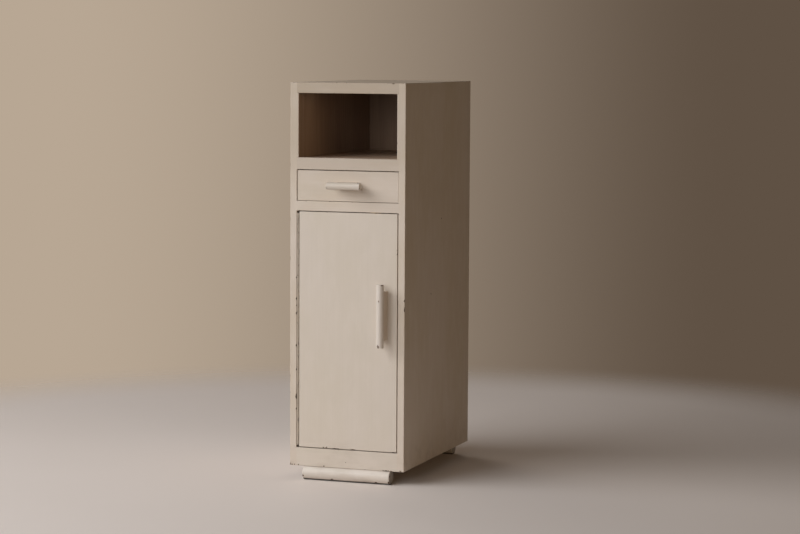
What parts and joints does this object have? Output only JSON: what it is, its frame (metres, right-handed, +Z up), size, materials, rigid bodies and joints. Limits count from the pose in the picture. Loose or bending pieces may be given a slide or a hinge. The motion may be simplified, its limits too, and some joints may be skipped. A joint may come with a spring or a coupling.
{
  "type": "storage cabinet",
  "caption": "Narrow floor-standing painted wooden cabinet with an open niche above a drawer above a hinged cupboard door, standing on round bar feet.",
  "frame": {"origin": "on the floor, in the middle of the whole footprint with the handles included", "axes": "+Z up, the front with the door faces -Y, +X to the right as seen from the front"},
  "size_m": [0.31, 0.5644, 1.015],
  "materials": {
    "cream_paint": "aged cream paint",
    "stained_wood": "thin brown stain, varnished",
    "plain_wood": "bare planed wood",
    "hinge_steel": "painted over and worn",
    "brass": "dull brass",
    "steel": "dull steel"
  },
  "bodies": {
    "carcass": {"left_side_panel": "cream_paint", "right_side_panel": "cream_paint", "top_panel": "cream_paint", "top_rail": "cream_paint", "niche_rail": "cream_paint", "drawer_rail": "cream_paint", "bottom_rail": "cream_paint", "front_foot": "cream_paint", "rear_foot": "cream_paint", "niche_floor": "stained_wood", "niche_liner_left": "stained_wood", "niche_liner_right": "stained_wood", "back_panel": "stained_wood", "bottom_panel": "stained_wood", "shelf": "stained_wood", "shelf_cleat_left": "stained_wood", "shelf_cleat_right": "stained_wood", "door_stop": "stained_wood", "dust_board": "stained_wood", "rear_bearer": "plain_wood", "drawer_runner_left": "plain_wood", "drawer_runner_right": "plain_wood", "drawer_kicker_left": "plain_wood", "drawer_kicker_right": "plain_wood", "drawer_stop_left": "plain_wood", "drawer_stop_right": "plain_wood", "carcass_dowels": "plain_wood", "hinge_frame_leaf": "hinge_steel", "hinge_pin": "hinge_steel", "catch_strike": "brass", "catch_strike_screws": "brass", "hinge_frame_screws": "steel", "back_panel_nails": "steel", "foot_screws": "steel"},
    "door": {"door_panel": "cream_paint", "hinge_door_leaf": "hinge_steel", "hinge_door_screws": "steel", "door_handle_bar": "cream_paint", "door_handle_rib": "cream_paint", "door_handle_screws": "steel", "catch_barrel": "brass", "catch_spring": "steel"},
    "catch_plunger": {"catch_plunger": "brass"},
    "drawer": {"drawer_front": "cream_paint", "drawer_side_left": "plain_wood", "drawer_side_right": "plain_wood", "drawer_back": "plain_wood", "drawer_bottom": "plain_wood", "drawer_handle_bar": "cream_paint", "drawer_handle_rib": "cream_paint", "drawer_handle_screws": "steel", "drawer_pins": "steel"}
  },
  "joints": [
    {"name": "door_hinge", "type": "hinge", "parent": "carcass", "child": "door", "pos_m": [-0.1335, -0.24015, 0.386], "axis": [0, 0, -1], "range_deg": [0, 110]},
    {"name": "catch_press", "type": "slide", "parent": "door", "child": "catch_plunger", "axis": [0, 0, -1], "range_m": [0, 0.0032], "stiffness_N_per_m": 500, "springref_m": -0.006, "deforming": ["catch_spring"]},
    {"name": "drawer_slide", "type": "slide", "parent": "carcass", "child": "drawer", "axis": [0, -1, 0], "range_m": [0, 0.33]}
  ]
}
